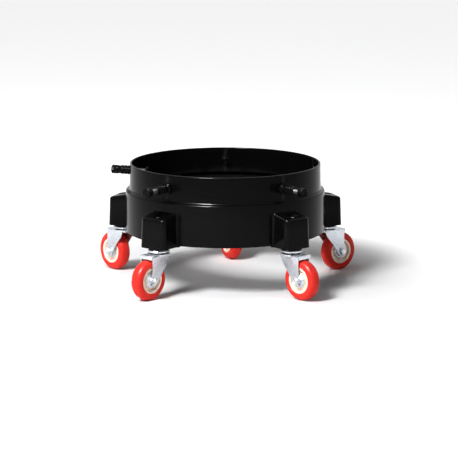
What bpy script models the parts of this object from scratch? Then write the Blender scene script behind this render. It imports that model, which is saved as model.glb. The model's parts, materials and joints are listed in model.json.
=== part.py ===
"""Bucket dolly: a stepped plastic ring on five swivel casters, with thumb-screw clamps.

Lengths are in millimetres here and are scaled to metres where meshes are made.
The floor is z = 0, +Z is up and the front of the dolly faces -Y. An azimuth is
measured from the front (-Y) towards +X, seen from above.
"""

import math

import bmesh
import bpy
from mathutils import Matrix, Vector

MM = 0.001
GAP = 0.3

# Where the ring's axis stands, so that the footprint's middle is the origin.
RING_CENTRE = (-3.5234, -6.3281)

# Ring, from the floor up.
RING_BOTTOM = 82.0
STEP_TOP = 147.0
RIM_TOP = 191.4
LOWER_RADIUS = 161.0
UPPER_RADIUS = 154.0
WALL = 3.0
SHOULDER = 3.0
RING_STEPS = 48

# Bucket seat inside the ring.
SEAT_TOP = 96.0
SEAT_THICKNESS = 3.5
SEAT_INNER_RADIUS = 118.0

# Caster bosses round the ring.
BOSS_BOTTOM = 80.0
BOSS_TOP_OUTER = 127.0
BOSS_TOP_INNER = 134.6
BOSS_RADIUS = 193.7
BOSS_WIDTH = 45.2
BOSS_CORNER = 7.0
BOSS_DRAFT = 1.2
BOSS_ROOT_RADIUS = 153.5
SOCKET_RADIUS = 16.5
SOCKET_BOTTOM = 77.0
POCKET_FLOOR = 116.0
NUT_FLATS = 17.0
NUT_HEIGHT = 8.0
STEM_RADIUS = 5.0
STEM_TOP = 127.0

# Casters.
CASTER_CIRCLE = 176.3
TRAIL = 23.9
WHEEL_RADIUS = 31.75
WHEEL_WIDTH = 20.1
HUB_RADIUS = 20.7
CROWN_TOP = 71.0
CROWN_BOTTOM = 68.6
CROWN_RADIUS = 17.0
CROWN_FRONT = 30.0
LIP_BOTTOM = 65.2
FORK_HALF_WIDTH = 13.2
FORK_SHEET = 2.0
LEG_END_RADIUS = 8.5
AXLE_RADIUS = 3.0
KINGPIN_RADIUS = 4.6
RACE_RADIUS = 12.6
RACE_HEIGHT = 72.4
RACE_PLATE_RADIUS = 17.0
RACE_PLATE_BOTTOM = 73.7
RACE_PLATE_UNDERSIDE = 74.8

# Each caster's place round the ring, and the azimuth that its wheel trails towards.
CASTERS = {
    "front_left": (-36.0, -42.2),
    "front_right": (36.0, 43.7),
    "right": (108.0, 126.1),
    "back": (180.0, 23.9),
    "left": (-108.0, -139.2),
}

# Clamps: the place round the ring, and how far in each one is screwed.
CLAMP_HEIGHT = 170.0
CLAMP_TRAVEL = 13.0
CLAMPS = {
    "front_left": (-36.0, 0.0),
    "front_right": (36.0, 0.0),
    "back": (180.0, 7.0),
    "left": (-108.0, CLAMP_TRAVEL),
}
SPARE_CLAMP_HOLE = 108.0
BUSH_RADIUS = 6.5
BUSH_END = 184.0
BUSH_INNER_END = 149.5
FLANGE_RADIUS = 9.5
SCREW_RADIUS = 4.0
FOOT_RADIUS = 6.4
FOOT_THICKNESS = 4.0
KNOB_RADIUS = 7.25
KNOB_LENGTH = 10.5

# Colours, roughness and metallic value of each finish.
FINISHES = {
    "black_plastic": ((0.012, 0.012, 0.013), 0.22, 0.0),
    "zinc": ((0.62, 0.64, 0.66), 0.32, 1.0),
    "dark_steel": ((0.18, 0.18, 0.19), 0.40, 1.0),
    "red_urethane": ((0.72, 0.035, 0.022), 0.34, 0.0),
    "cream_nylon": ((0.86, 0.80, 0.70), 0.45, 0.0),
}


def clear_scene():
    """Remove whatever the open file holds."""
    for item in list(bpy.data.objects):
        bpy.data.objects.remove(item, do_unlink=True)


def make_collection(name):
    group = bpy.data.collections.new(name)
    bpy.context.scene.collection.children.link(group)
    return group


def make_materials():
    """One Principled material for each finish."""
    made = {}
    for name, (colour, roughness, metallic) in FINISHES.items():
        material = bpy.data.materials.new(name)
        material.use_nodes = True
        shader = material.node_tree.nodes["Principled BSDF"]
        shader.inputs["Base Color"].default_value = (*colour, 1.0)
        shader.inputs["Roughness"].default_value = roughness
        shader.inputs["Metallic"].default_value = metallic
        material.diffuse_color = (*colour, 1.0)
        made[name] = material
    return made


def polar(azimuth, radius, height=0.0):
    """The point at an azimuth and radius round the ring's axis, in metres."""
    angle = math.radians(azimuth)
    x = RING_CENTRE[0] + radius * math.sin(angle)
    y = RING_CENTRE[1] - radius * math.cos(angle)
    return Vector((x, y, height)) * MM


def heading(azimuth):
    """The turn about Z that points an object's own +X along an azimuth."""
    return math.radians(azimuth - 90.0)


def make_empty(name, group, location, rotation=(0, 0, 0), parent=None):
    empty = bpy.data.objects.new(name, None)
    empty.empty_display_size = 0.01
    group.objects.link(empty)
    empty.parent = parent
    empty.location = location
    empty.rotation_euler = rotation
    return empty


def add_object(name, mesh, group, finish=None, parent=None, smooth_angle=35.0):
    """Link a mesh as an object, shaded smooth except at its sharp edges."""
    item = bpy.data.objects.new(name, mesh)
    group.objects.link(item)
    item.parent = parent
    if finish:
        mesh.materials.append(MATERIALS[finish])
    mesh.shade_smooth()
    mesh.set_sharp_from_angle(angle=math.radians(smooth_angle))
    return item


def turned(name, profile, steps, group, finish=None, parent=None):
    """A turned solid: its profile runs top to bottom on the outer side, round local Z.

    A profile whose ends are on the axis closes there. Any other profile is a closed loop.
    """
    mesh = bpy.data.meshes.new(name)
    points = [(radius * MM, 0.0, height * MM) for radius, height in profile]
    edges = [(i, i + 1) for i in range(len(points) - 1)]
    if profile[0][0] > 0:
        edges.append((len(points) - 1, 0))
    mesh.from_pydata(points, edges, [])
    item = bpy.data.objects.new(name, mesh)
    group.objects.link(item)
    item.parent = parent
    if finish:
        mesh.materials.append(MATERIALS[finish])
    screw = item.modifiers.new("Turn", "SCREW")
    screw.axis = "Z"
    screw.angle = math.tau
    screw.steps = steps
    screw.render_steps = steps
    screw.use_merge_vertices = True
    screw.merge_threshold = 0.00001
    screw.use_smooth_shade = True
    return item


def arc(centre_r, centre_z, radius, start, end, count):
    """Points of a profile on an arc, from one angle to another in degrees."""
    points = []
    for i in range(count + 1):
        angle = math.radians(start + (end - start) * i / count)
        points.append((centre_r + radius * math.cos(angle), centre_z + radius * math.sin(angle)))
    return points


def mirrored_profile(upper):
    """Closes a profile whose upper half is given, mirrored in the plane z = 0."""
    return upper + [(radius, -height) for radius, height in reversed(upper)]


def rod(work, radius, length, matrix, segments=24):
    """Add a capped cylinder to a bmesh, centred on its matrix."""
    bmesh.ops.create_cone(
        work, cap_ends=True, cap_tris=False, segments=segments, radius1=radius * MM,
        radius2=radius * MM, depth=length * MM, matrix=matrix)


def place(x, y, z, axis="Z", spin=0.0):
    """A matrix at a point in millimetres whose Z axis lies along X, Y or Z."""
    turn = {"X": Matrix.Rotation(math.radians(90), 4, "Y"),
            "Y": Matrix.Rotation(math.radians(-90), 4, "X"),
            "Z": Matrix.Identity(4)}[axis]
    spin_matrix = Matrix.Rotation(math.radians(spin), 4, "Z")
    return Matrix.Translation(Vector((x, y, z)) * MM) @ turn @ spin_matrix


def around_ring(azimuth):
    """The matrix that carries +X outward along an azimuth, about the ring's axis."""
    centre = Vector((RING_CENTRE[0], RING_CENTRE[1], 0.0)) * MM
    return Matrix.Translation(centre) @ Matrix.Rotation(heading(azimuth), 4, "Z")


def finish_mesh(name, work):
    """Turn a bmesh into a mesh."""
    mesh = bpy.data.meshes.new(name)
    bmesh.ops.recalc_face_normals(work, faces=work.faces)
    work.to_mesh(mesh)
    work.free()
    return mesh


def cutter(name, mesh):
    """An object that only shapes others."""
    item = add_object(name, mesh, CUTTERS)
    item.display_type = "WIRE"
    item.hide_render = True
    return item


def combine(item, tool, operation):
    """Join a tool to an object, or cut it away."""
    modifier = item.modifiers.new(tool.name, "BOOLEAN")
    modifier.operation = operation
    modifier.solver = "EXACT"
    modifier.object = tool
    tool.display_type = "WIRE"
    tool.hide_render = True


def boss_block(work, matrix, radius, half_width, corner, bottom, top_outer, top_inner, draft, root):
    """A drafted block that leans against the ring, with a sloping top and round corners."""
    block = bmesh.new()
    bmesh.ops.create_cube(block, size=1.0)
    for vert in block.verts:
        outside = vert.co.x > 0
        low = vert.co.z < 0
        spread = draft if low else 0.0
        top = top_outer if outside else top_inner
        vert.co = Vector((
            (radius + spread if outside else root),
            math.copysign(half_width + spread, vert.co.y),
            bottom if low else top)) * MM
    upright = [e for e in block.edges
               if all(v.co.x > (root + 1) * MM for v in e.verts)
               and abs(e.verts[0].co.y - e.verts[1].co.y) < 2 * MM
               and abs(e.verts[0].co.z - e.verts[1].co.z) > 20 * MM]
    bmesh.ops.bevel(block, geom=upright, offset=corner * MM, segments=3, profile=0.5,
                    affect="EDGES")
    highest = (min(top_outer, top_inner) - 1) * MM
    crest = [e for e in block.edges if all(v.co.z > highest for v in e.verts)
             and any(v.co.x > (root + 1) * MM for v in e.verts)]
    if draft:
        bmesh.ops.bevel(block, geom=crest, offset=2.2 * MM, segments=1, profile=0.5,
                        affect="EDGES")
    block.transform(matrix)
    piece = bpy.data.meshes.new("block")
    block.to_mesh(piece)
    block.free()
    work.from_mesh(piece)
    bpy.data.meshes.remove(piece)


def build_ring():
    """The moulded ring: two walls with a step between them, and five caster bosses."""
    outline = [(0.0, RIM_TOP)]
    outline += arc(UPPER_RADIUS - 1.2, RIM_TOP - 1.2, 1.2, 90, 0, 2)
    outline += arc(UPPER_RADIUS + 4.4, STEP_TOP + 5.0, 3.5, 180, 270, 2)
    outline += arc(LOWER_RADIUS - 2.4, STEP_TOP - 0.9, 2.4, 90, 0, 2)
    outline += [(LOWER_RADIUS + 0.6, RING_BOTTOM + 1.0), (LOWER_RADIUS - 0.2, RING_BOTTOM)]
    outline += [(0.0, RING_BOTTOM)]
    ring = turned("ring_body", outline, RING_STEPS, PARTS, "black_plastic")
    ring.location = Vector((RING_CENTRE[0], RING_CENTRE[1], 0.0)) * MM

    blocks, hollows, sockets, pockets, holes = (bmesh.new() for _ in range(5))
    for azimuth, _ in CASTERS.values():
        out = around_ring(azimuth)
        boss_block(blocks, out, BOSS_RADIUS, BOSS_WIDTH / 2, BOSS_CORNER, BOSS_BOTTOM,
                   BOSS_TOP_OUTER, BOSS_TOP_INNER, BOSS_DRAFT, BOSS_ROOT_RADIUS)
        boss_block(hollows, out, BOSS_RADIUS - WALL, BOSS_WIDTH / 2 - WALL, BOSS_CORNER - WALL,
                   BOSS_BOTTOM - 20, BOSS_TOP_OUTER - 9, BOSS_TOP_OUTER - 9, 0.0,
                   LOWER_RADIUS + 0.8)
        socket_length = POCKET_FLOOR + 3 - SOCKET_BOTTOM
        rod(sockets, SOCKET_RADIUS, socket_length,
            out @ place(CASTER_CIRCLE, 0, SOCKET_BOTTOM + socket_length / 2), 20)
        rod(holes, STEM_RADIUS + GAP, 80, out @ place(CASTER_CIRCLE, 0, 90), 12)
        nut_corner = (NUT_FLATS / 2 + 0.6) / math.cos(math.radians(30))
        rod(pockets, nut_corner, 40, out @ place(CASTER_CIRCLE, 0, POCKET_FLOOR + 20, "Z", 30), 6)
    combine(ring, cutter("boss_blocks", finish_mesh("boss_blocks", blocks)), "UNION")
    combine(ring, cutter("boss_hollows", finish_mesh("boss_hollows", hollows)), "DIFFERENCE")
    combine(ring, cutter("stem_sockets", finish_mesh("stem_sockets", sockets)), "UNION")

    inside = [(0.0, RIM_TOP + 20), (UPPER_RADIUS - WALL + 1.2, RIM_TOP + 20)]
    inside += [(UPPER_RADIUS - WALL + 1.2, RIM_TOP)]
    inside += arc(UPPER_RADIUS - WALL + 1.2, RIM_TOP - 1.2, 1.2, 90, 180, 2)[1:]
    inside += [(UPPER_RADIUS - WALL + 0.6, STEP_TOP + SHOULDER)]
    inside += [(LOWER_RADIUS - WALL, STEP_TOP - WALL)]
    inside += [(LOWER_RADIUS - WALL, RING_BOTTOM - 20), (0.0, RING_BOTTOM - 20)]
    hollow = turned("ring_inside", inside, RING_STEPS, CUTTERS)
    hollow.location = ring.location
    combine(ring, hollow, "DIFFERENCE")

    for azimuth in [place_round for place_round, _ in CLAMPS.values()] + [SPARE_CLAMP_HOLE]:
        rod(holes, BUSH_RADIUS - 0.5 + GAP, 30,
            around_ring(azimuth) @ place(UPPER_RADIUS, 0, CLAMP_HEIGHT, "X"), 12)
    combine(ring, cutter("nut_pockets", finish_mesh("nut_pockets", pockets)), "DIFFERENCE")
    combine(ring, cutter("ring_holes", finish_mesh("ring_holes", holes)), "DIFFERENCE")


def build_seat():
    """The plate inside the ring that the bucket stands on, with a rim turned down each side."""
    outer = LOWER_RADIUS - WALL - GAP
    under = SEAT_TOP - SEAT_THICKNESS
    foot = RING_BOTTOM + 1.0
    profile = [(SEAT_INNER_RADIUS, SEAT_TOP), (outer, SEAT_TOP)]
    profile += [(outer, foot), (outer - WALL, foot), (outer - WALL, under)]
    profile += [(SEAT_INNER_RADIUS + WALL, under), (SEAT_INNER_RADIUS + WALL, foot + 3)]
    profile += [(SEAT_INNER_RADIUS, foot + 3)]
    seat = turned("bucket_seat", profile, RING_STEPS, PARTS, "black_plastic")
    seat.location = Vector((RING_CENTRE[0], RING_CENTRE[1], 0.0)) * MM


def build_stem(name, pivot):
    """Threaded stem with the fixed upper race plate and the kingpin, all on the swivel axis."""
    plate_top = SOCKET_BOTTOM - GAP
    rim = RACE_PLATE_RADIUS - 1.8
    head_top = LIP_BOTTOM + 3.0
    head_bottom = LIP_BOTTOM - 0.6
    profile = [(0, STEM_TOP), (STEM_RADIUS, STEM_TOP), (STEM_RADIUS, plate_top)]
    profile += [(RACE_PLATE_RADIUS - 1.2, plate_top), (RACE_PLATE_RADIUS, plate_top - 1.2)]
    profile += [(RACE_PLATE_RADIUS, RACE_PLATE_BOTTOM), (rim, RACE_PLATE_BOTTOM)]
    profile += [(rim, RACE_PLATE_UNDERSIDE), (KINGPIN_RADIUS, RACE_PLATE_UNDERSIDE)]
    profile += [(KINGPIN_RADIUS, head_top), (7.0, head_top), (6.2, head_bottom), (0, head_bottom)]
    turned(name + "_stem", profile, 14, PARTS, "zinc", pivot)


def build_nut(name, pivot):
    """Hexagon nut in the pocket on top of the boss."""
    work = bmesh.new()
    corner = NUT_FLATS / 2 / math.cos(math.radians(30))
    rod(work, corner, NUT_HEIGHT, place(0, 0, 0, "Z", 30), 6)
    nut = add_object(name + "_nut", finish_mesh("nut", work), PARTS, "zinc", pivot)
    nut.location = (0, 0, (POCKET_FLOOR + GAP + NUT_HEIGHT / 2) * MM)
    bore = bmesh.new()
    rod(bore, STEM_RADIUS + GAP, NUT_HEIGHT * 3, Matrix.Identity(4), 12)
    tool = cutter(name + "_nut_bore", finish_mesh("nut_bore", bore))
    tool.parent = pivot
    tool.location = nut.location
    combine(nut, tool, "DIFFERENCE")


def build_race(name, pivot):
    """Ring of balls in its cage, between the race plate and the fork's crown."""
    bpy.ops.mesh.primitive_torus_add(
        major_radius=RACE_RADIUS * MM, minor_radius=1.05 * MM, major_segments=16, minor_segments=4)
    race = bpy.context.object
    for group in list(race.users_collection):
        group.objects.unlink(race)
    PARTS.objects.link(race)
    race.name = name + "_ball_race"
    race.parent = pivot
    race.location = (0, 0, RACE_HEIGHT * MM)
    race.data.materials.append(MATERIALS["dark_steel"])
    race.data.shade_smooth()


def leg_outline():
    """Side view of a fork leg: broad at the crown, round at the axle."""
    axle = (TRAIL, WHEEL_RADIUS)
    points = [(-12.0, CROWN_TOP - 0.6), (-9.5, 63.0), (2.0, 47.5)]
    points += arc(axle[0], axle[1], LEG_END_RADIUS, 205, 360, 4)
    points += [(31.0, 50.0), (CROWN_FRONT - 0.4, LIP_BOTTOM), (CROWN_FRONT - 0.4, CROWN_TOP - 0.6)]
    return points


def crown_outline():
    """Plan view of the crown: round about the swivel axis, square over the wheel."""
    half = FORK_HALF_WIDTH - 0.4
    start = math.degrees(math.asin(half / CROWN_RADIUS))
    points = arc(0, 0, CROWN_RADIUS, start, 360 - start, 10)
    corner = 4.0
    points += arc(CROWN_FRONT - corner, -half + corner, corner, -90, 0, 2)
    points += arc(CROWN_FRONT - corner, half - corner, corner, 0, 90, 2)
    return points


def plate(name, outline, thickness):
    """A flat plate from its outline, centred on z = 0, as a mesh."""
    curve = bpy.data.curves.new(name, "CURVE")
    curve.dimensions = "2D"
    curve.fill_mode = "BOTH"
    curve.extrude = thickness / 2 * MM
    spline = curve.splines.new("POLY")
    spline.points.add(len(outline) - 1)
    for point, (x, y) in zip(spline.points, outline):
        point.co = (x * MM, y * MM, 0.0, 1.0)
    spline.use_cyclic_u = True
    guide = bpy.data.objects.new(name, curve)
    CUTTERS.objects.link(guide)
    bpy.context.view_layer.update()
    view = bpy.context.evaluated_depsgraph_get()
    mesh = bpy.data.meshes.new_from_object(guide.evaluated_get(view))
    bpy.data.objects.remove(guide, do_unlink=True)
    work = bmesh.new()
    work.from_mesh(mesh)
    bmesh.ops.remove_doubles(work, verts=work.verts, dist=0.00001)
    bmesh.ops.recalc_face_normals(work, faces=work.faces)
    work.to_mesh(mesh)
    work.free()
    return mesh


def build_fork(name, pivot):
    """Pressed fork: a crown plate, a leg each side of the wheel and a lip over its tread."""
    crown_mesh = plate("crown", crown_outline(), CROWN_TOP - CROWN_BOTTOM)
    fork = add_object(name + "_fork", crown_mesh, PARTS, "zinc", pivot)
    fork.location = (0, 0, (CROWN_TOP + CROWN_BOTTOM) / 2 * MM)
    leg_centre = FORK_HALF_WIDTH - FORK_SHEET / 2
    upright = Matrix.Rotation(math.radians(90), 4, "X")
    for side, sign in (("near", -1), ("far", 1)):
        leg = cutter(f"{name}_leg_{side}", plate("leg", leg_outline(), FORK_SHEET))
        leg.data.transform(upright)
        leg.parent = pivot
        leg.location = (0, sign * leg_centre * MM, 0)
        combine(fork, leg, "UNION")
    lip_work = bmesh.new()
    lip_height = CROWN_TOP - 0.5 - LIP_BOTTOM
    lip_matrix = place(CROWN_FRONT - 1.6, 0, LIP_BOTTOM + lip_height / 2)
    size = Matrix.Diagonal(Vector((2.0, 2 * FORK_HALF_WIDTH - 1.0, lip_height, 1.0 / MM)) * MM)
    bmesh.ops.create_cube(lip_work, size=1.0, matrix=lip_matrix @ size)
    lip = cutter(name + "_lip", finish_mesh("lip", lip_work))
    lip.parent = pivot
    combine(fork, lip, "UNION")
    holes = bmesh.new()
    rod(holes, AXLE_RADIUS + GAP, 60, place(TRAIL, 0, WHEEL_RADIUS, "Y"), 10)
    rod(holes, KINGPIN_RADIUS + GAP, 20, place(0, 0, CROWN_TOP), 12)
    tool = cutter(name + "_holes", finish_mesh("fork_holes", holes))
    tool.parent = pivot
    combine(fork, tool, "DIFFERENCE")


def build_axle(name, hub_axis):
    """Axle bolt with its head and nut outside the fork legs."""
    work = bmesh.new()
    face = FORK_HALF_WIDTH + GAP
    rod(work, AXLE_RADIUS, 2 * face + 9.0, Matrix.Identity(4), 10)
    axle = add_object(name + "_axle", finish_mesh("axle", work), PARTS, "zinc", hub_axis)
    for side, sign, height in (("head", -1, 3.6), ("nut", 1, 4.4)):
        end = bmesh.new()
        rod(end, 5.8, height, place(0, 0, sign * (face + height / 2), "Z", 15), 6)
        tool = cutter(f"{name}_axle_{side}", finish_mesh("axle_end", end))
        tool.parent = hub_axis
        combine(axle, tool, "UNION")


def build_wheel(name, hub_axis):
    """Tyre, hub and bearing, turned about the axle."""
    half = WHEEL_WIDTH / 2
    shoulder = 5.2
    tread = [(HUB_RADIUS, half), (WHEEL_RADIUS - shoulder, half)]
    tread += arc(WHEEL_RADIUS - shoulder, half - shoulder, shoulder, 60, 0, 2)
    turned(name + "_tyre", mirrored_profile(tread), 24, PARTS, "red_urethane", hub_axis)

    rim = HUB_RADIUS - GAP
    hub = [(8.9, 7.2), (12.6, 7.2), (12.9, 4.0), (16.6, 4.0), (17.0, half - 0.8)]
    hub += [(rim, half - 0.8)]
    turned(name + "_hub", mirrored_profile(hub), 16, PARTS, "cream_nylon", hub_axis)

    bearing = [(AXLE_RADIUS + GAP, 10.6), (5.4, 10.6), (12.2, 8.4), (12.2, 7.5), (8.5, 7.5)]
    turned(name + "_bearing", mirrored_profile(bearing), 12, PARTS, "zinc", hub_axis)


def build_caster(place_name, azimuth, trail_azimuth):
    """One swivel caster. Its pivot stands on the swivel axis, and +X points along the trail."""
    name = "caster_" + place_name
    mount = make_empty(name + "_mount", PARTS, polar(azimuth, CASTER_CIRCLE),
                       (0, 0, heading(azimuth)))
    pivot = make_empty(name + "_pivot", PARTS, polar(azimuth, CASTER_CIRCLE),
                       (0, 0, heading(trail_azimuth)))
    hub_axis = make_empty(name + "_hub_axis", PARTS, Vector((TRAIL, 0, WHEEL_RADIUS)) * MM,
                          (math.radians(-90), 0, 0), pivot)
    build_stem(name, mount)
    build_nut(name, mount)
    build_race(name, mount)
    build_fork(name, pivot)
    build_axle(name, hub_axis)
    build_wheel(name, hub_axis)


def build_clamp(place_name, azimuth, turned_in):
    """One clamp: a threaded bush in the ring's wall, a screw with its knob, and a foot."""
    name = "clamp_" + place_name
    axis = make_empty(name + "_axis", PARTS, polar(azimuth, 0, CLAMP_HEIGHT),
                      (math.radians(90), 0, math.radians(azimuth)))
    bore = SCREW_RADIUS + GAP
    neck = BUSH_RADIUS - 0.5
    seat = UPPER_RADIUS + 1.2
    bush = [(bore, BUSH_END), (BUSH_RADIUS, BUSH_END)]
    bush += [(BUSH_RADIUS, seat + 4.0), (FLANGE_RADIUS, seat + 4.0)]
    bush += [(FLANGE_RADIUS, seat), (neck, seat)]
    bush += [(neck, BUSH_INNER_END), (bore, BUSH_INNER_END)]
    turned(name + "_bush", bush, 12, PARTS, "black_plastic", axis)

    slide = make_empty(name + "_slide", PARTS, (0, 0, -turned_in * MM), (0, 0, 0), axis)
    foot_outer = BUSH_INNER_END - GAP
    foot_inner = foot_outer - FOOT_THICKNESS
    foot = [(0, foot_outer - 2.2), (2.7, foot_outer - 2.2), (2.7, foot_outer)]
    foot += [(FOOT_RADIUS, foot_outer), (FOOT_RADIUS - 0.8, foot_inner), (0, foot_inner)]
    turned(name + "_foot", foot, 12, PARTS, "black_plastic", slide)

    shaft_end = BUSH_END + CLAMP_TRAVEL + 9.0
    tip_shoulder = foot_outer + GAP
    screw = [(0, shaft_end), (SCREW_RADIUS, shaft_end), (SCREW_RADIUS, tip_shoulder)]
    screw += [(2.3, tip_shoulder), (2.3, tip_shoulder - 1.8), (0, tip_shoulder - 1.8)]
    turned(name + "_screw", screw, 12, PARTS, "dark_steel", slide)

    knob_base = BUSH_END + CLAMP_TRAVEL + 0.5
    knob_end = knob_base + KNOB_LENGTH
    cap = shaft_end + GAP
    knob = [(0, knob_end), (KNOB_RADIUS - 1.0, knob_end), (KNOB_RADIUS, knob_end - 1.0)]
    knob += [(KNOB_RADIUS, knob_base), (bore, knob_base), (bore, cap), (0, cap)]
    turned(name + "_knob", knob, 12, PARTS, "black_plastic", slide)


clear_scene()
PARTS = make_collection("bucket_dolly")
CUTTERS = make_collection("cutters")
MATERIALS = make_materials()
build_ring()
build_seat()
for caster_name, (caster_azimuth, caster_trail) in CASTERS.items():
    build_caster(caster_name, caster_azimuth, caster_trail)
for clamp_name, (clamp_azimuth, clamp_turned_in) in CLAMPS.items():
    build_clamp(clamp_name, clamp_azimuth, clamp_turned_in)
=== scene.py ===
"""Looks of the bucket dolly: a glossy stepped ring on five zinc casters with red wheels.

Shapes are drawn in millimetres, each in the frame of its own axis, and are placed by
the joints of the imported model. Z is up and the front of the dolly faces -Y.
"""

import json
import math

import bmesh
import bpy
from mathutils import Matrix, Vector

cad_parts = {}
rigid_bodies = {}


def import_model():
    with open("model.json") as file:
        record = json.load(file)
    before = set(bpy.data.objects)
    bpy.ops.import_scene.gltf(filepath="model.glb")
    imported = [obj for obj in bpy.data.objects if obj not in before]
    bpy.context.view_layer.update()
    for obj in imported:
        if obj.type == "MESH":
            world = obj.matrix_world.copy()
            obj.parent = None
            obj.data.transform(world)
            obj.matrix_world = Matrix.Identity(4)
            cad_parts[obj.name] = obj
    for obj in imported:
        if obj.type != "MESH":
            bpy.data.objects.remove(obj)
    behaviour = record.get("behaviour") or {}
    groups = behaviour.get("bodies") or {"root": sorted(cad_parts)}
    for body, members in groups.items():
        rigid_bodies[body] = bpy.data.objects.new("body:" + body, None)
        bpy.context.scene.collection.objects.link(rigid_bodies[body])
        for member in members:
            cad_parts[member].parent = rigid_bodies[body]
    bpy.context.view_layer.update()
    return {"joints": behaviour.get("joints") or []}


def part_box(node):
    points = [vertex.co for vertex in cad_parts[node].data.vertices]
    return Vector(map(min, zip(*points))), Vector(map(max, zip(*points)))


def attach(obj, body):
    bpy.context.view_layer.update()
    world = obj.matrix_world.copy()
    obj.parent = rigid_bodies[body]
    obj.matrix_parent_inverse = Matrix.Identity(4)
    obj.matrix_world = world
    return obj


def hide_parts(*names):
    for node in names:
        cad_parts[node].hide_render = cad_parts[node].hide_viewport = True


MM = 0.001
GAP = 0.3

# Ring, from the floor up.
RING_BOTTOM = 82.0
STEP_TOP = 147.0
RIM_TOP = 191.4
LOWER_RADIUS = 161.0
UPPER_RADIUS = 154.0
WALL = 3.0
RING_STEPS = 240

# Bucket seat.
SEAT_TOP = 96.0
SEAT_THICKNESS = 3.5
SEAT_INNER_RADIUS = 118.0
SEAT_RIBS = 24
DRAIN_CIRCLE = 138.0
DRAIN_RADIUS = 3.5

# Caster bosses.
BOSS_BOTTOM = 80.0
BOSS_TOP_OUTER = 127.0
BOSS_TOP_INNER = 133.2
BOSS_RADIUS = 193.7
BOSS_HALF_WIDTH = 22.6
BOSS_CORNER = 7.0
BOSS_DRAFT = 1.2
BOSS_EDGE = 3.6
BOSS_ROOT_FILLET = 4.5
SOCKET_RADIUS = 16.5
SOCKET_BOTTOM = 77.0
POCKET_FLOOR = 116.0
NUT_FLATS = 17.0
NUT_HEIGHT = 8.0

# Casters.
STEM_RADIUS = 5.0
STEM_TOP = 127.0
STEM_PITCH = 1.5
CASTER_CIRCLE = 176.3
TRAIL = 23.9
WHEEL_RADIUS = 31.75
WHEEL_WIDTH = 20.1
HUB_RADIUS = 20.7
CROWN_TOP = 71.0
CROWN_BOTTOM = 68.6
CROWN_RADIUS = 17.0
CROWN_FRONT = 30.0
LIP_BOTTOM = 65.2
FORK_HALF_WIDTH = 13.2
FORK_SHEET = 2.0
LEG_END_RADIUS = 8.5
AXLE_RADIUS = 3.0
KINGPIN_RADIUS = 4.6
BALL_RADIUS = 1.05
BALL_CIRCLE = 12.6
BALL_COUNT = 22
RACE_HEIGHT = 72.4
RACE_PLATE_RADIUS = 17.0
RACE_PLATE_BOTTOM = 73.7
RACE_PLATE_UNDERSIDE = 74.8
THREAD_START = 112.4

# Clamps.
CLAMP_TRAVEL = 13.0
BUSH_RADIUS = 6.5
BUSH_END = 184.0
BUSH_INNER_END = 149.5
FLANGE_RADIUS = 9.5
SCREW_RADIUS = 4.0
SCREW_PITCH = 3.0
FOOT_RADIUS = 6.4
FOOT_THICKNESS = 4.0
KNOB_RADIUS = 7.25
KNOB_LENGTH = 10.5

# Camera, from the ring's axis at floor level.
CAMERA_DISTANCE = 3.4157
CAMERA_HEIGHT = 0.7534
CAMERA_PITCH = 11.136
CAMERA_LENS = 168.24
CAMERA_SHIFT = 0.0083


# Meshes


def skin(name, rows, closed=False):
    """A mesh over rings of points. A closed one joins its last ring to its first."""
    work = bmesh.new()
    rings = [[work.verts.new(Vector(point) * MM) for point in row] for row in rows]
    pairs = list(zip(rings, rings[1:]))
    if closed:
        pairs.append((rings[-1], rings[0]))
    for low, high in pairs:
        for i in range(len(low)):
            j = (i + 1) % len(low)
            work.faces.new((low[i], low[j], high[j], high[i]))
    if not closed:
        work.faces.new(reversed(rings[0]))
        work.faces.new(rings[-1])
    return finish_mesh(name, work)


def finish_mesh(name, work):
    bmesh.ops.recalc_face_normals(work, faces=work.faces)
    mesh = bpy.data.meshes.new(name)
    work.to_mesh(mesh)
    work.free()
    return mesh


def shaped(name, radius, heights, steps, bore=None):
    """A solid whose radius is a function of angle and height, with an optional round bore."""
    angles = [math.tau * i / steps for i in range(steps)]
    rows = [[(radius(a, z) * math.cos(a), radius(a, z) * math.sin(a), z) for a in angles]
            for z in heights]
    if bore:
        for z in (heights[-1], heights[0]):
            rows.append([(bore * math.cos(a), bore * math.sin(a), z) for a in angles])
    return skin(name, rows, closed=bool(bore))


def turned(name, profile, steps, closed=False):
    """A turned solid from its profile of (radius, height) points."""
    rows = []
    for radius, height in profile:
        rows.append([(radius * math.cos(math.tau * i / steps),
                      radius * math.sin(math.tau * i / steps), height) for i in range(steps)])
    return skin(name, rows, closed)


def arc(centre_r, centre_z, radius, start, end, count):
    """Points on an arc, from one angle to another in degrees."""
    points = []
    for i in range(count + 1):
        angle = math.radians(start + (end - start) * i / count)
        points.append((centre_r + radius * math.cos(angle), centre_z + radius * math.sin(angle)))
    return points


def rounded(corners, radius, count=4, closed=False):
    """A profile with its corners rounded. Each corner may carry its own radius."""
    points = []
    last = len(corners) - 1
    for i, corner in enumerate(corners):
        here = Vector(corner[:2])
        size = corner[2] if len(corner) > 2 else radius
        if (not closed and i in (0, last)) or size == 0:
            points.append(tuple(here))
            continue
        before = Vector(corners[i - 1][:2]) - here
        after = Vector(corners[(i + 1) % len(corners)][:2]) - here
        half = before.angle(after) / 2
        reach = min(size / math.tan(half), before.length * 0.49, after.length * 0.49)
        size = reach * math.tan(half)
        start, end = here + before.normalized() * reach, here + after.normalized() * reach
        centre = here + (before.normalized() + after.normalized()).normalized() * (
            size / math.sin(half))
        for k in range(count + 1):
            spot = (start.lerp(end, k / count) - centre).normalized() * size + centre
            points.append(tuple(spot))
    return points


def mirrored(upper):
    """Closes a profile whose upper half is given, mirrored in the plane z = 0."""
    return upper + [(radius, -height) for radius, height in reversed(upper)]


def prism(outline, low, high):
    """Rings of an upright prism on a plan outline."""
    return [[(x, y, low) for x, y in outline], [(x, y, high) for x, y in outline]]


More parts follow.
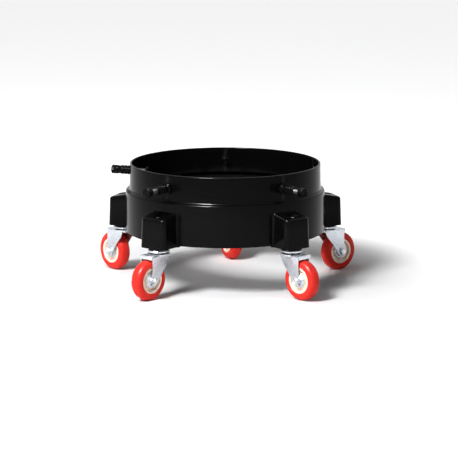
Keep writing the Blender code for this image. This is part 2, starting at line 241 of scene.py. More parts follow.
def joined(name, meshes_and_places):
    """One mesh from several, each with the matrix that places it."""
    work = bmesh.new()
    for mesh, matrix in meshes_and_places:
        part = mesh.copy()
        part.transform(matrix)
        work.from_mesh(part)
        bpy.data.meshes.remove(part)
    return finish_mesh(name, work)


def shift(x=0.0, y=0.0, z=0.0):
    return Matrix.Translation(Vector((x, y, z)) * MM)


def turn(degrees, axis="Z"):
    return Matrix.Rotation(math.radians(degrees), 4, axis)


def carve(name, base, steps, bevel=0.0, bevel_angle=40.0, segments=2):
    """Joins and cuts tools into a base mesh in turn, then rounds its sharp edges."""
    item = bpy.data.objects.new(name, base)
    bpy.context.scene.collection.objects.link(item)
    tools = []
    for operation, mesh in steps:
        tool = bpy.data.objects.new("tool", mesh)
        bpy.context.scene.collection.objects.link(tool)
        modifier = item.modifiers.new(operation, "BOOLEAN")
        modifier.operation = operation
        modifier.solver = "EXACT"
        modifier.object = tool
        tools.append(tool)
    if bevel:
        edge = item.modifiers.new("Edges", "BEVEL")
        edge.width = bevel * MM
        edge.segments = segments
        edge.limit_method = "ANGLE"
        edge.angle_limit = math.radians(bevel_angle)
        edge.harden_normals = False
    bpy.context.view_layer.update()
    view = bpy.context.evaluated_depsgraph_get()
    mesh = bpy.data.meshes.new_from_object(item.evaluated_get(view))
    for spare in tools + [item]:
        bpy.data.objects.remove(spare, do_unlink=True)
    return mesh


# The ring and its seat


def boss_plan(inset, root, spread=0.0):
    """Plan outline of a boss, with round corners and fillets that meet the ring's wall."""
    half = BOSS_HALF_WIDTH - inset + spread
    front = BOSS_RADIUS - inset + spread
    corner = max(BOSS_CORNER - inset, 1.0)
    fillet = BOSS_ROOT_FILLET + inset
    wall = LOWER_RADIUS - 0.15
    centre_y = half + fillet
    centre_x = math.sqrt((wall + fillet) ** 2 - centre_y ** 2)
    meet = math.degrees(math.atan2(centre_y, centre_x))
    side = arc(centre_x, centre_y, fillet, 180 + meet, 270, 6)
    side += arc(front - corner, half - corner, corner, 90, 0, 8)
    outline = [(x, -y) for x, y in side] + [(x, y) for x, y in reversed(side)]
    reach = math.asin(side[0][1] / math.hypot(*side[0])) * 0.985
    for i in range(7):
        angle = reach * (1 - i / 3)
        outline.append((root * math.cos(angle), root * math.sin(angle)))
    return outline


def boss_block():
    """A boss: drafted sides, a top that slopes down outward, and a round edge."""
    rows = []

    def row(inset, drop, spread=0.0, low=None):
        points = []
        for x, y in boss_plan(inset, LOWER_RADIUS - 1.5, spread):
            share = (BOSS_RADIUS - x) / (BOSS_RADIUS - LOWER_RADIUS)
            top = BOSS_TOP_OUTER + (BOSS_TOP_INNER - BOSS_TOP_OUTER) * share
            points.append((x, y, (top - drop) if low is None else low))
        rows.append(points)

    row(1.0, 0, BOSS_DRAFT, BOSS_BOTTOM)
    row(0.3, 0, BOSS_DRAFT, BOSS_BOTTOM + 0.3)
    row(0.0, 0, BOSS_DRAFT, BOSS_BOTTOM + 1.0)
    for i in range(6):
        angle = math.radians(90 * i / 5)
        row(BOSS_EDGE * (1 - math.cos(angle)), BOSS_EDGE * (1 - math.sin(angle)))
    return skin("boss", rows)


def boss_hollow():
    """The space inside a boss, open below."""
    half = BOSS_HALF_WIDTH - WALL
    corner = BOSS_CORNER - WALL
    front = BOSS_RADIUS - WALL
    inner = LOWER_RADIUS + 0.8
    side = [(math.sqrt(inner ** 2 - half ** 2), half)]
    side += arc(front - corner, half - corner, corner, 90, 0, 5)
    outline = [(x, -y) for x, y in side] + [(x, y) for x, y in reversed(side)]
    edge = math.asin(half / inner)
    outline += [(inner * math.cos(edge * k / 4), inner * math.sin(edge * k / 4))
                for k in (3, 2, 1, 0, -1, -2, -3)]
    return skin("hollow", prism(outline, BOSS_BOTTOM - 20, BOSS_TOP_OUTER - 9))


def ring_shell():
    """The whole moulding: two walls, the step, five bosses and every hole."""
    profile = arc(UPPER_RADIUS - 1.2, RIM_TOP - 1.2, 1.2, 90, 0, 6)
    profile += arc(UPPER_RADIUS + 4.4, STEP_TOP + 5.0, 3.5, 180, 270, 8)
    profile += arc(LOWER_RADIUS - 2.4, STEP_TOP - 0.9, 2.4, 90, 0, 8)
    profile += [(LOWER_RADIUS + 0.55, RING_BOTTOM + 1.0)]
    profile += arc(LOWER_RADIUS - 0.2, RING_BOTTOM + 0.75, 0.75, 0, -90, 4)
    profile += arc(LOWER_RADIUS - WALL + 0.8, RING_BOTTOM + 0.8, 0.8, 270, 180, 4)
    profile += rounded([(LOWER_RADIUS - WALL, RING_BOTTOM + 4),
                        (LOWER_RADIUS - WALL, STEP_TOP - WALL, 2.0),
                        (UPPER_RADIUS - WALL + 0.6, STEP_TOP + WALL, 4.0),
                        (UPPER_RADIUS - WALL, RIM_TOP - 1.2)], 2.0)
    profile += arc(UPPER_RADIUS - WALL + 1.2, RIM_TOP - 1.2, 1.2, 180, 90, 6)
    ring = turned("ring", profile, RING_STEPS, closed=True)

    boss, hollow = boss_block(), boss_hollow()
    socket_top = POCKET_FLOOR + 3
    socket = turned("socket", rounded([(0.01, SOCKET_BOTTOM), (SOCKET_RADIUS, SOCKET_BOTTOM, 1.0),
                                       (SOCKET_RADIUS, socket_top), (0.01, socket_top)], 0), 64)
    rib = skin("rib", prism([(-1.1, -21.0), (1.1, -21.0), (1.1, 21.0), (-1.1, 21.0)],
                            BOSS_BOTTOM + 4, socket_top))
    inner, outer = LOWER_RADIUS - 0.5 - CASTER_CIRCLE, BOSS_RADIUS - 1.5 - CASTER_CIRCLE
    bar = skin("bar", prism([(inner, -1.1), (outer, -1.1), (outer, 1.1), (inner, 1.1)],
                            BOSS_BOTTOM + 4, socket_top))
    hole = turned("hole", [(STEM_RADIUS + GAP, 50), (STEM_RADIUS + GAP, 150)], 32)
    corner = (NUT_FLATS / 2 + 0.6) / math.cos(math.radians(30))
    pocket = turned("pocket", [(corner, POCKET_FLOOR), (corner, POCKET_FLOOR + 40)], 6)
    pocket.transform(turn(30))
    bush_hole = turned("bush_hole", [(BUSH_RADIUS - 0.5 + GAP, -15),
                                     (BUSH_RADIUS - 0.5 + GAP, 15)], 32)
    stands = [turn(a - 90) for a in CASTER_AZIMUTHS]
    on_circle = [m @ shift(CASTER_CIRCLE) for m in stands]
    through_wall = [turn(a - 90) @ shift(UPPER_RADIUS, 0, CLAMP_HEIGHT) @ turn(90, "Y")
                    for a in CASTER_AZIMUTHS]
    return carve("ring_body_look", ring, [
        ("UNION", joined("bosses", [(boss, m) for m in stands])),
        ("DIFFERENCE", joined("hollows", [(hollow, m) for m in stands])),
        ("UNION", joined("sockets", [(socket, m) for m in on_circle])),
        ("UNION", joined("ribs", [(rib, m) for m in on_circle])),
        ("UNION", joined("bars", [(bar, m) for m in on_circle])),
        ("DIFFERENCE", joined("pockets", [(pocket, m) for m in on_circle])),
        ("DIFFERENCE", joined("holes", [(hole, m) for m in on_circle]
                              + [(bush_hole, m) for m in through_wall])),
    ])


def seat_plate():
    """The seat: a flat ring with a turned-down rim each side and ribs between the rims."""
    outer = LOWER_RADIUS - WALL - GAP
    under = SEAT_TOP - SEAT_THICKNESS
    foot = RING_BOTTOM + 1.0
    profile = rounded([
        (SEAT_INNER_RADIUS, SEAT_TOP, 1.5), (outer, SEAT_TOP, 1.0), (outer, foot, 0.6),
        (outer - WALL, foot, 0.6), (outer - WALL, under, 1.2),
        (SEAT_INNER_RADIUS + WALL, under, 1.2), (SEAT_INNER_RADIUS + WALL, foot + 3, 0.8),
        (SEAT_INNER_RADIUS, foot + 3, 0.8)], 1.0, 4, closed=True)
    plate = turned("seat", profile, RING_STEPS, closed=True)
    rib = skin("rib", prism([(SEAT_INNER_RADIUS + 1.5, -1.0), (outer - 1.5, -1.0),
                             (outer - 1.5, 1.0), (SEAT_INNER_RADIUS + 1.5, 1.0)],
                            foot + 3.6, under + 1))
    ribs = joined("ribs", [(rib, turn(360 * (i + 0.5) / SEAT_RIBS)) for i in range(SEAT_RIBS)])
    drain = turned("drain", [(DRAIN_RADIUS, 70), (DRAIN_RADIUS, 120)], 20)
    drains = joined("drains", [(drain, turn(360 * i / SEAT_RIBS) @ shift(DRAIN_CIRCLE))
                               for i in range(0, SEAT_RIBS, 2)])
    return carve("bucket_seat_look", plate, [("UNION", ribs), ("DIFFERENCE", drains)])


# Casters


def loop(form, height, steps):
    """A level loop of points, whose radius is a number or a function of angle and height."""
    points = []
    for i in range(steps):
        angle = math.tau * i / steps
        radius = form(angle, height) if callable(form) else form
        points.append((radius * math.cos(angle), radius * math.sin(angle), height))
    return points


def thread(radius, pitch, depth):
    """A radius function for a screw thread with rounded crests."""
    def at(angle, height):
        phase = (height / pitch - angle / math.tau) % 1.0
        return radius - depth * (0.5 - 0.5 * math.cos(math.tau * phase)) ** 0.7
    return at


def steps_between(low, high, size):
    count = max(1, math.ceil((high - low) / size))
    return [low + (high - low) * i / count for i in range(count + 1)]


def hexagon(flats, top, bottom, chamfer=1.2):
    """A radius function for a hexagon whose corners are chamfered above and below."""
    def at(angle, height):
        edge = (angle % math.radians(60)) - math.radians(30)
        across = flats / 2 / math.cos(edge)
        depth = min(top - height, height - bottom)
        return min(across, flats / 2 * 0.96 + depth * 1.9 / chamfer)
    return at


def hexagon_heights(low, high):
    near = (0.0, 0.2, 0.45, 0.75, 1.1)
    return [low + n for n in near] + [high - n for n in reversed(near)]


def stem():
    """Threaded stem, fixed race plate and kingpin."""
    plate_top = SOCKET_BOTTOM - GAP
    head_top, head_bottom = LIP_BOTTOM + 3.0, LIP_BOTTOM - 0.6
    lip = RACE_PLATE_RADIUS - 1.8
    lower = rounded([
        (0.01, head_bottom), (6.2, head_bottom, 0.8), (7.0, head_top, 0.5),
        (KINGPIN_RADIUS, head_top, 0.0), (KINGPIN_RADIUS, RACE_PLATE_UNDERSIDE, 0.0),
        (lip, RACE_PLATE_UNDERSIDE, 0.4), (lip, RACE_PLATE_BOTTOM, 0.3),
        (RACE_PLATE_RADIUS, RACE_PLATE_BOTTOM, 0.3), (RACE_PLATE_RADIUS, plate_top, 1.3),
        (STEM_RADIUS, plate_top, 0.0), (STEM_RADIUS, THREAD_START - 0.4)], 0.0, 4)
    steps = 48
    rows = [loop(r, z, steps) for r, z in lower]
    form = thread(STEM_RADIUS, STEM_PITCH, 0.75)
    rows += [loop(form, z, steps)
             for z in steps_between(THREAD_START, STEM_TOP - 0.9, STEM_PITCH / 8)]
    rows.append(loop(STEM_RADIUS - 1.1, STEM_TOP, steps))
    return skin("stem", rows)


def nut():
    low = POCKET_FLOOR + GAP
    high = low + NUT_HEIGHT
    mesh = shaped("nut", hexagon(NUT_FLATS, high, low), hexagon_heights(low, high), 72,
                  STEM_RADIUS + 0.1)
    mesh.transform(turn(30))
    return mesh


def ball_race():
    """A ring of balls in a pressed cage."""
    work = bmesh.new()
    for i in range(BALL_COUNT):
        place = turn(360 * i / BALL_COUNT) @ shift(BALL_CIRCLE, 0, RACE_HEIGHT)
        bmesh.ops.create_uvsphere(work, u_segments=14, v_segments=8, radius=BALL_RADIUS * MM,
                                  matrix=place)
    balls = finish_mesh("balls", work)
    cage = turned("cage", rounded([
        (BALL_CIRCLE - 1.6, RACE_HEIGHT - 0.35), (BALL_CIRCLE + 1.9, RACE_HEIGHT - 0.35),
        (BALL_CIRCLE + 1.9, RACE_HEIGHT + 0.35), (BALL_CIRCLE - 1.6, RACE_HEIGHT + 0.35)],
        0.2, 2, closed=True), 64, closed=True)
    return joined("ball_race", [(balls, Matrix.Identity(4)), (cage, Matrix.Identity(4))])


def fork():
    """Pressed fork: a channel over the wheel, trimmed to its side view, with a round crown."""
    bend = 3.2
    half = FORK_HALF_WIDTH
    inner = bend - FORK_SHEET
    outside = [(-half, 15.0)] + arc(-half + bend, CROWN_TOP - bend, bend, 180, 90, 6)
    outside += arc(half - bend, CROWN_TOP - bend, bend, 90, 0, 6) + [(half, 15.0)]
    edge = half - FORK_SHEET
    ceiling = CROWN_BOTTOM
    inside = [(edge, 15.0)] + arc(edge - inner, ceiling - inner, inner, 0, 90, 4)
    inside += arc(-edge + inner, ceiling - inner, inner, 90, 180, 4) + [(-edge, 15.0)]
    section = outside + inside
    channel = skin("channel", [[(x, y, z) for y, z in section]
                               for x in (-13.0, CROWN_FRONT - 3.0)])
    side = [(-12.0, CROWN_TOP + 5), (-12.0, CROWN_BOTTOM - 1.0), (-9.5, 63.0)]
    side += [(-6.8, 58.0), (-2.5, 52.6), (2.0, 47.5), (7.5, 40.0), (12.8, 32.5)]
    side += arc(TRAIL, WHEEL_RADIUS, LEG_END_RADIUS, 205, 358, 16)
    side += [(32.2, 36.0), (31.8, 43.0), (31.0, 50.0), (30.2, 58.0)]
    side += [(CROWN_FRONT - 0.4, LIP_BOTTOM), (CROWN_FRONT - 0.4, CROWN_TOP + 5)]
    trim = skin("trim", [[(x, y, z) for x, z in side] for y in (-20.0, 20.0)])
    start = math.degrees(math.asin((half - 0.2) / CROWN_RADIUS))
    crown_plan = arc(0, 0, CROWN_RADIUS, start, 360 - start, 40)
    crown = skin("crown", [[(x, y, z) for x, y in crown_plan]
                           for z in (CROWN_BOTTOM, CROWN_TOP)])
    lip_section = [(-1.0, CROWN_TOP)] + arc(-1.0, CROWN_TOP - 2.4, 2.4, 90, 0, 5)
    lip_section += [(1.4, LIP_BOTTOM), (-0.6, LIP_BOTTOM), (-0.6, CROWN_BOTTOM), (-1.0, CROWN_BOTTOM)]
    lip = skin("lip", [[(CROWN_FRONT - 2.0 + x, y, z) for x, z in lip_section]
                       for y in (-half + 0.4, half - 0.4)])
    holes = joined("holes", [
        (turned("axle_hole", [(AXLE_RADIUS + GAP, -30), (AXLE_RADIUS + GAP, 30)], 32),
         shift(TRAIL, 0, WHEEL_RADIUS) @ turn(90, "X")),
        (turned("kingpin_hole", [(KINGPIN_RADIUS + GAP, 60), (KINGPIN_RADIUS + GAP, 80)], 32),
         Matrix.Identity(4))])
    return carve("fork", channel, [
        ("INTERSECT", trim), ("UNION", crown), ("UNION", lip), ("DIFFERENCE", holes),
    ], bevel=0.35, bevel_angle=50.0)


def axle():
    """Axle bolt with a dished hexagon head at one end and a lock nut at the other."""
    face = FORK_HALF_WIDTH + GAP
    end = face + 4.5
    shank = shaped("shank", thread(AXLE_RADIUS, 1.0, 0.0), [-end + 1.2, end - 5.0], 32)
    tip = shaped("tip", thread(AXLE_RADIUS - 0.05, 1.0, 0.45),
                 steps_between(end - 5.0, end, 0.125), 32)
    flats = 2 * 5.8 * math.cos(math.radians(30))
    head_form = hexagon(flats, 3.6, 0.0, 1.6)
    heights = hexagon_heights(0.0, 3.6)
    head_rows = [loop(head_form, z, 60) for z in heights]
    head_rows += [loop(radius, z, 60) for radius, z in ((4.0, 3.6), (3.6, 3.0), (0.8, 2.8))]
    head = skin("head", head_rows)
    lock = shaped("lock", hexagon(flats, 3.6, 0.0, 1.6), heights, 60, AXLE_RADIUS + 0.02)
    collar = turned("collar", rounded([(4.3, 3.3), (4.3, 4.4), (AXLE_RADIUS + 0.02, 4.4),
                                       (AXLE_RADIUS + 0.02, 3.3)], 0.4, 3, closed=True), 48,
                    closed=True)
    flip = turn(180, "X")
    ident = Matrix.Identity(4)
    return joined("axle", [
        (shank, ident), (tip, ident), (head, shift(0, 0, -face) @ flip),
        (lock, shift(0, 0, face)), (collar, shift(0, 0, face))])


def tyre():
    """Solid tyre with a crowned tread and round shoulders."""
    half = WHEEL_WIDTH / 2
    side_top = HUB_RADIUS + 1.0
    points = [(HUB_RADIUS, half - 1.2), (HUB_RADIUS + 0.35, half - 0.45)]
    count = 18
    for i in range(count + 1):
        angle = math.pi / 2 * (1 - i / count)
        radius = side_top + (WHEEL_RADIUS - side_top) * math.cos(angle) ** 0.72
        height = half * math.sin(angle) ** 0.72
        points.append((radius, height))
    points = points[:-1] + [(WHEEL_RADIUS, 0.35), (WHEEL_RADIUS - 0.12, 0.0)]
    lower = [(r, -z) for r, z in reversed(points[:-1])]
    return turned("tyre", points + lower, 128, closed=True)


def hub():
    """Nylon hub: a bright rim, a recessed web with ribs, and a boss round the bearing."""
    half = WHEEL_WIDTH / 2
    rim = HUB_RADIUS - 0.05
    face = half - 0.7
    upper = rounded([(8.9, 0.0), (8.9, 7.2), (12.6, 7.2, 0.5), (12.9, 4.0, 0.6),
                     (16.6, 4.0, 0.8), (17.0, face, 0.6), (rim, face, 0.7), (rim, 0.0)], 0.4, 3)
    body = turned("hub", mirrored(upper[1:-1]), 96, closed=True)
    rib = skin("rib", prism([(11.8, -0.7), (17.6, -0.7), (17.6, 0.7), (11.8, 0.7)], -6.2, 6.2))
    ribs = joined("ribs", [(rib, turn(360 * i / 8)) for i in range(8)])
    return carve("hub", body, [("UNION", ribs)])


def bearing():
    """Axle tube between two pressed dust caps."""
    upper = rounded([(AXLE_RADIUS + 0.1, 10.6), (5.4, 10.6, 0.4), (5.6, 9.4, 0.5),
                     (8.4, 9.4, 0.8), (9.2, 8.6, 0.5), (11.0, 8.6, 0.6), (12.2, 8.0, 0.3),
                     (12.2, 7.5, 0.1), (8.5, 7.5, 0.1)], 0.3, 3)
    return turned("bearing", mirrored(upper), 72, closed=True)


# Clamps, along their own axes: height is the distance from the ring's axis


def bush():
    """Ribbed bush that the screw turns in, with a flange outside the wall."""
    bore = SCREW_RADIUS + GAP
    seat = UPPER_RADIUS + 1.2
    neck = BUSH_RADIUS - 0.5
    ribs = []
    for crest in (BUSH_END - 7.0, BUSH_END - 12.5, BUSH_END - 18.0):
        ribs += [(BUSH_RADIUS, crest + 1.5, 0.3), (BUSH_RADIUS + 1.1, crest + 1.0, 0.4),
                 (BUSH_RADIUS + 1.1, crest - 1.0, 0.4), (BUSH_RADIUS, crest - 1.5, 0.3)]
    profile = rounded([(bore, BUSH_END, 0.5), (BUSH_RADIUS, BUSH_END, 0.8)] + ribs + [
        (BUSH_RADIUS, seat + 4.0, 0.8), (FLANGE_RADIUS, seat + 4.0, 0.9),
        (FLANGE_RADIUS, seat, 0.3), (neck, seat, 0.2), (neck, BUSH_INNER_END, 0.4),
        (bore, BUSH_INNER_END, 0.3)], 0.5, 3, closed=True)
    return turned("bush", profile, 56, closed=True)


def foot():
    """Round foot that presses on the bucket."""
    outer = BUSH_INNER_END - GAP
    inner = outer - FOOT_THICKNESS
    profile = rounded([(0.01, outer - 2.2), (2.7, outer - 2.2, 0.1), (2.7, outer, 0.2),
                       (FOOT_RADIUS, outer, 0.6), (FOOT_RADIUS, outer - 2.4, 0.4),
                       (FOOT_RADIUS - 0.8, inner, 0.9), (3.2, inner, 0.3), (2.8, inner + 0.5, 0.3),
                       (0.01, inner + 0.5)], 0.3, 4)
    return turned("foot", profile, 56)


def screw():
    """Clamp screw: a pin that the foot turns on, the thread, and a shank inside the knob."""
    threads_end = BUSH_END + CLAMP_TRAVEL
    form = thread(SCREW_RADIUS, SCREW_PITCH, 0.8)
    steps = 40
    tip = [(2.1, BUSH_INNER_END - 1.8), (2.3, BUSH_INNER_END - 1.6), (2.3, BUSH_INNER_END),
           (3.0, BUSH_INNER_END)]
    rows = [loop(radius, z, steps) for radius, z in tip]
    rows += [loop(form, z, steps)
             for z in steps_between(BUSH_INNER_END + 0.7, threads_end - 0.5, SCREW_PITCH / 12)]
    rows += [loop(SCREW_RADIUS - 0.3, z, steps) for z in (threads_end, threads_end + 9.0)]
    return skin("screw", rows)


def knob():
    """Knurled thumb knob with a plain collar and a dished end."""
    base = BUSH_END + CLAMP_TRAVEL + 0.5
    end = base + KNOB_LENGTH
    flutes = 16
    steps = flutes * 8

    def form(angle, height):
        deep = 0.55 * (0.5 - 0.5 * math.cos(flutes * angle)) ** 1.5
        edge = min(height - base, end - height)
        fade = max(0.0, min(1.0, (edge - 0.9) / 0.8))
        round_off = 0.8 - math.sqrt(max(0.0, 0.64 - (0.8 - min(edge, 0.8)) ** 2))
        return KNOB_RADIUS - round_off - deep * fade

    heights = [base + h for h in (0.0, 0.1, 0.25, 0.5, 0.8, 1.2, 1.7)]
    heights += [end - h for h in (1.7, 1.2, 0.8, 0.5, 0.25, 0.1, 0.0)]
    rows = [loop(form, z, steps) for z in heights]
    rows += [loop(radius, z, steps)
             for radius, z in ((5.0, end), (4.5, end - 0.5), (0.6, end - 0.9))]
    return skin("knob", rows)


# Materials


def node(tree, kind, settings=None, **inputs):
    """Adds a shader node, with its settings and the values or links of its inputs."""
    made = tree.nodes.new(kind)
    for key, value in (settings or {}).items():
        setattr(made, key, value)
    for key, value in inputs.items():
        socket = made.inputs[int(key[1:]) if key[0] == "i" and key[1:].isdigit() else
                             key.replace("_", " ")]
        if isinstance(value, bpy.types.NodeSocket):
            tree.links.new(value, socket)
        else:
            socket.default_value = value
    return made


def surface(name, colour, tint, roughness, metallic=0.0, specular=0.5, mottle=60.0,
            grain=900.0, bump=0.05, streaks=None, wear=None, wear_from=0.53, subsurface=0.0):
    """A surface with mottled colour, uneven gloss, a fine grain, streaks and worn edges."""
    made = bpy.data.materials.new(name)
    made.use_nodes = True
    tree = made.node_tree
    shader = tree.nodes["Principled BSDF"]
    place = node(tree, "ShaderNodeTexCoord").outputs["Object"]
    patches = node(tree, "ShaderNodeTexNoise", None, Vector=place, Scale=mottle, Detail=4.0,
                   Roughness=0.6).outputs["Fac"]
    spots = node(tree, "ShaderNodeTexNoise", None, Vector=place, Scale=mottle * 5, Detail=3.0,
                 Roughness=0.7).outputs["Fac"]
    fine = node(tree, "ShaderNodeTexNoise", None, Vector=place, Scale=grain,
                Detail=2.0).outputs["Fac"]
    paint = node(tree, "ShaderNodeMix", {"data_type": "RGBA"}, i0=patches,
                 i6=(*colour, 1.0), i7=(*tint, 1.0)).outputs[2]
    gloss = node(tree, "ShaderNodeMapRange", None, Value=spots, From_Min=0.3, From_Max=0.7,
                 To_Min=roughness[0], To_Max=roughness[1]).outputs["Result"]
    height = fine
    if streaks:
        stretch = node(tree, "ShaderNodeMapping", None, Vector=place, Scale=streaks)
        lines = node(tree, "ShaderNodeTexNoise", None, Vector=stretch.outputs["Vector"],
                     Scale=200.0, Detail=3.0, Roughness=0.65).outputs["Fac"]
        height = node(tree, "ShaderNodeMath", {"operation": "ADD"}, i0=fine, i1=lines).outputs[0]
        rub = node(tree, "ShaderNodeMapRange", None, Value=lines, From_Min=0.35, From_Max=0.65,
                   To_Min=-0.05, To_Max=0.06).outputs["Result"]
        gloss = node(tree, "ShaderNodeMath", {"operation": "ADD"}, i0=gloss, i1=rub).outputs[0]
    if wear:
        sharp = node(tree, "ShaderNodeNewGeometry").outputs["Pointiness"]
        edge = node(tree, "ShaderNodeMapRange", None, Value=sharp, From_Min=wear_from,
                    From_Max=wear_from + 0.08, To_Min=0.0, To_Max=0.8).outputs["Result"]
        broken = node(tree, "ShaderNodeMath", {"operation": "MULTIPLY", "use_clamp": True},
                      i0=edge, i1=spots).outputs[0]
        paint = node(tree, "ShaderNodeMix", {"data_type": "RGBA"}, i0=broken, i6=paint,
                     i7=(*wear, 1.0)).outputs[2]
    relief = node(tree, "ShaderNodeBump", None, Strength=bump, Distance=0.0004, Height=height)
    tree.links.new(paint, shader.inputs["Base Color"])
    tree.links.new(gloss, shader.inputs["Roughness"])
    tree.links.new(relief.outputs["Normal"], shader.inputs["Normal"])
    shader.inputs["Metallic"].default_value = metallic
    shader.inputs["Specular IOR Level"].default_value = specular
    if subsurface:
        shader.inputs["Subsurface Weight"].default_value = subsurface
        shader.inputs["Subsurface Radius"].default_value = (0.004, 0.0012, 0.0008)
    return made


def make_finishes():
    return {
        "black_plastic": surface(
            "black_plastic", (0.0014, 0.0014, 0.0015), (0.0024, 0.0024, 0.0026), (0.10, 0.19),
            specular=0.045, mottle=40.0, grain=1400.0, bump=0.03, wear=(0.018, 0.018, 0.019)),
        "zinc": surface(
            "zinc", (0.60, 0.62, 0.65), (0.44, 0.47, 0.52), (0.22, 0.36), metallic=1.0,
            mottle=120.0, grain=1800.0, bump=0.10, streaks=(1.0, 1.0, 9.0),
            wear=(0.90, 0.90, 0.90)),
        "dark_steel": surface(
            "dark_steel", (0.030, 0.030, 0.032), (0.016, 0.016, 0.018), (0.40, 0.55), metallic=0.6,
            mottle=160.0, grain=1800.0, bump=0.08, wear=(0.12, 0.12, 0.12)),
        "red_urethane": surface(
            "red_urethane", (0.70, 0.032, 0.022), (0.60, 0.022, 0.016), (0.26, 0.38),
            specular=0.08, mottle=90.0, grain=1500.0, bump=0.06, subsurface=0.15,
            wear=(0.80, 0.12, 0.09), wear_from=0.56),
        "cream_nylon": surface(
            "cream_nylon", (0.90, 0.74, 0.62), (0.84, 0.66, 0.54), (0.32, 0.46), specular=0.4,
            mottle=90.0, grain=1500.0, bump=0.05, subsurface=0.10, wear=(0.94, 0.86, 0.78)),
    }


# Placing


def show(name, mesh, matrix, body, finish, stands_for, angle=32.0):
    """Shows a mesh as a piece that rides on a CAD body in place of a CAD node."""
    if not mesh.materials:
        mesh.shade_smooth()
        mesh.set_sharp_from_angle(angle=math.radians(angle))
        mesh.materials.append(FINISHES[finish])
    piece = bpy.data.objects.new(name, mesh)
    bpy.context.scene.collection.objects.link(piece)
    piece.matrix_world = matrix
    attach(piece, body)
    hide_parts(stands_for)
    return piece


def upright(position, direction):
    """A frame on the floor below a position, with +X along a level direction."""
    angle = math.atan2(direction.y, direction.x)
    level = Vector((position.x, position.y, 0.0))
    return Matrix.Translation(level) @ Matrix.Rotation(angle, 4, "Z")


def show_casters():
    parts = {
        "stem": ("frame", "zinc", stem()), "nut": ("frame", "zinc", nut()),
        "ball_race": ("frame", "dark_steel", ball_race()), "fork": ("swivel", "zinc", fork()),
        "axle": ("swivel", "zinc", axle()), "tyre": ("wheel", "red_urethane", tyre()),
        "hub": ("wheel", "cream_nylon", hub()), "bearing": ("wheel", "zinc", bearing()),
    }
    for name in CASTERS:
        swivel = JOINTS[name + "_swivel_turn"]
        roll = JOINTS[name + "_wheel_roll"]
        pivot, centre = Vector(swivel["pos_m"]), Vector(roll["pos_m"])
        outward = pivot - RING_AXIS
        trail = centre - pivot
        mount = upright(pivot, outward)
        swing = upright(pivot, trail)
        wheel = swing @ shift(TRAIL, 0, WHEEL_RADIUS) @ turn(-90, "X")
        stands = {"stem": mount, "nut": mount, "ball_race": mount, "fork": swing}
        for part, (rides, finish, mesh) in parts.items():
            body = "frame" if rides == "frame" else f"{name}_{rides}"
            show(f"{name}_{part}_look", mesh, stands.get(part, wheel), body, finish,
                 f"{name}_{part}")


def show_clamps():
    parts = {"bush": ("frame", "black_plastic", bush()), "foot": ("foot", "black_plastic", foot()),
             "screw": ("screw", "dark_steel", screw()), "knob": ("screw", "black_plastic", knob())}
    for name in CLAMPS:
        travel = JOINTS[name + "_travel"]
        inward = Vector(travel["axis"])
        turned_in = -travel["range_m"][0]
        axis = Matrix.Translation(Vector((RING_AXIS.x, RING_AXIS.y, travel["pos_m"][2])))
        axis = axis @ (-inward).to_track_quat("Z", "Y").to_matrix().to_4x4()
        slide = axis @ Matrix.Translation((0, 0, -turned_in))
        for part, (rides, finish, mesh) in parts.items():
            body = "frame" if rides == "frame" else f"{name}_{rides}"
            show(f"{name}_{part}_look", mesh, axis if part == "bush" else slide, body, finish,
                 f"{name}_{part}")


# Studio


def aim(item, target):
    item.rotation_mode = "QUATERNION"
    item.rotation_quaternion = (target - item.location).to_track_quat("-Z", "Y")


def area_light(name, azimuth, elevation, distance, size, power, colour=(1, 1, 1)):
    """A square softbox that faces the dolly from an azimuth and elevation in degrees."""
    data = bpy.data.lights.new(name, "AREA")
    data.shape = "SQUARE"
    data.size = size
    data.energy = power
    data.color = colour
    light = bpy.data.objects.new(name, data)
    bpy.context.scene.collection.objects.link(light)
    a, e = math.radians(azimuth), math.radians(elevation)
    out = Vector((math.sin(a) * math.cos(e), -math.cos(a) * math.cos(e), math.sin(e)))
    target = RING_AXIS + Vector((0, 0, 0.1))
    light.location = target + out * distance
    aim(light, target)
    light.visible_camera = False
    return light


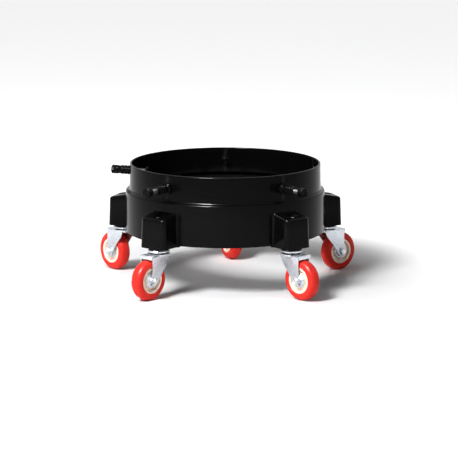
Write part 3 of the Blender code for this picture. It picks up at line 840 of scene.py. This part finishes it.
def make_studio():
    """A pale floor whose painted glow brightens it to white away from the dolly, soft light from
    the front left, a light that only makes highlights, and a bright surround for reflections."""
    bpy.ops.mesh.primitive_plane_add(size=40.0, location=(0, 0, 0))
    floor = bpy.context.object
    floor.name = "floor"
    white = bpy.data.materials.new("floor_white")
    white.use_nodes = True
    shader = white.node_tree.nodes["Principled BSDF"]
    shader.inputs["Base Color"].default_value = (0.86, 0.86, 0.87, 1.0)
    shader.inputs["Roughness"].default_value = 0.6
    shader.inputs["Specular IOR Level"].default_value = 0.1
    place = node(white.node_tree, "ShaderNodeTexCoord").outputs["Object"]
    # Painted light: the floor glows by its own emission, none near the dolly and rising with distance
    # from it.
    away = node(white.node_tree, "ShaderNodeVectorMath", {"operation": "LENGTH"}, i0=place)
    glow = node(white.node_tree, "ShaderNodeMapRange", {"interpolation_type": "SMOOTHSTEP"},
                Value=away.outputs["Value"], From_Min=0.21, From_Max=0.55, To_Min=0.0, To_Max=0.7)
    shader.inputs["Emission Color"].default_value = (1.0, 1.0, 1.0, 1.0)
    white.node_tree.links.new(glow.outputs["Result"], shader.inputs["Emission Strength"])
    floor.data.materials.append(white)

    world = bpy.data.worlds.new("studio")
    world.use_nodes = True
    bpy.context.scene.world = world
    tree = world.node_tree
    ground = tree.nodes["Background"]
    path = node(tree, "ShaderNodeLightPath")
    strength = node(tree, "ShaderNodeMapRange", None, Value=path.outputs["Is Diffuse Ray"],
                    To_Min=1.0, To_Max=0.09)
    ground.inputs["Color"].default_value = (1.0, 1.0, 1.0, 1.0)
    tree.links.new(strength.outputs["Result"], ground.inputs["Strength"])

    area_light("key", -36.0, 43.0, 2.4, 0.6, 76.0)
    area_light("overhead", -60.0, 70.0, 1.7, 0.8, 5.0)
    glint = area_light("glint", -27.0, 50.0, 2.4, 0.45, 480.0)
    glint.visible_diffuse = False
    bpy.context.scene.view_settings.view_transform = "Standard"


def make_camera():
    """The camera fitted to the photograph, in front of the dolly and looking a little down."""
    data = bpy.data.cameras.new("camera")
    data.sensor_width = 36.0
    data.lens = CAMERA_LENS
    data.shift_x = CAMERA_SHIFT
    camera = bpy.data.objects.new("camera", data)
    bpy.context.scene.collection.objects.link(camera)
    camera.location = RING_AXIS + Vector((0.0, -CAMERA_DISTANCE, CAMERA_HEIGHT))
    camera.rotation_euler = (math.radians(90.0 - CAMERA_PITCH), 0.0, 0.0)
    bpy.context.scene.camera = camera


for leftover in list(bpy.data.objects):
    bpy.data.objects.remove(leftover, do_unlink=True)
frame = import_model()

JOINTS = {joint["name"]: joint for joint in frame["joints"]}
CASTERS = sorted(n.removesuffix("_swivel_turn") for n in JOINTS if n.endswith("_swivel_turn"))
CLAMPS = sorted(n.removesuffix("_travel") for n in JOINTS if n.endswith("_travel"))
seat_low, seat_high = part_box("bucket_seat")
RING_AXIS = Vector(((seat_low.x + seat_high.x) / 2, (seat_low.y + seat_high.y) / 2, 0.0))
CLAMP_HEIGHT = JOINTS[CLAMPS[0] + "_travel"]["pos_m"][2] / MM
CASTER_AZIMUTHS = []
for caster in CASTERS:
    spot = Vector(JOINTS[caster + "_swivel_turn"]["pos_m"]) - RING_AXIS
    CASTER_AZIMUTHS.append(math.degrees(math.atan2(spot.x, -spot.y)))

FINISHES = make_finishes()
ring_place = Matrix.Translation(RING_AXIS)
show("ring_body_look", ring_shell(), ring_place, "frame", "black_plastic", "ring_body")
show("bucket_seat_look", seat_plate(), ring_place, "frame", "black_plastic", "bucket_seat")
show_casters()
show_clamps()
make_camera()
make_studio()
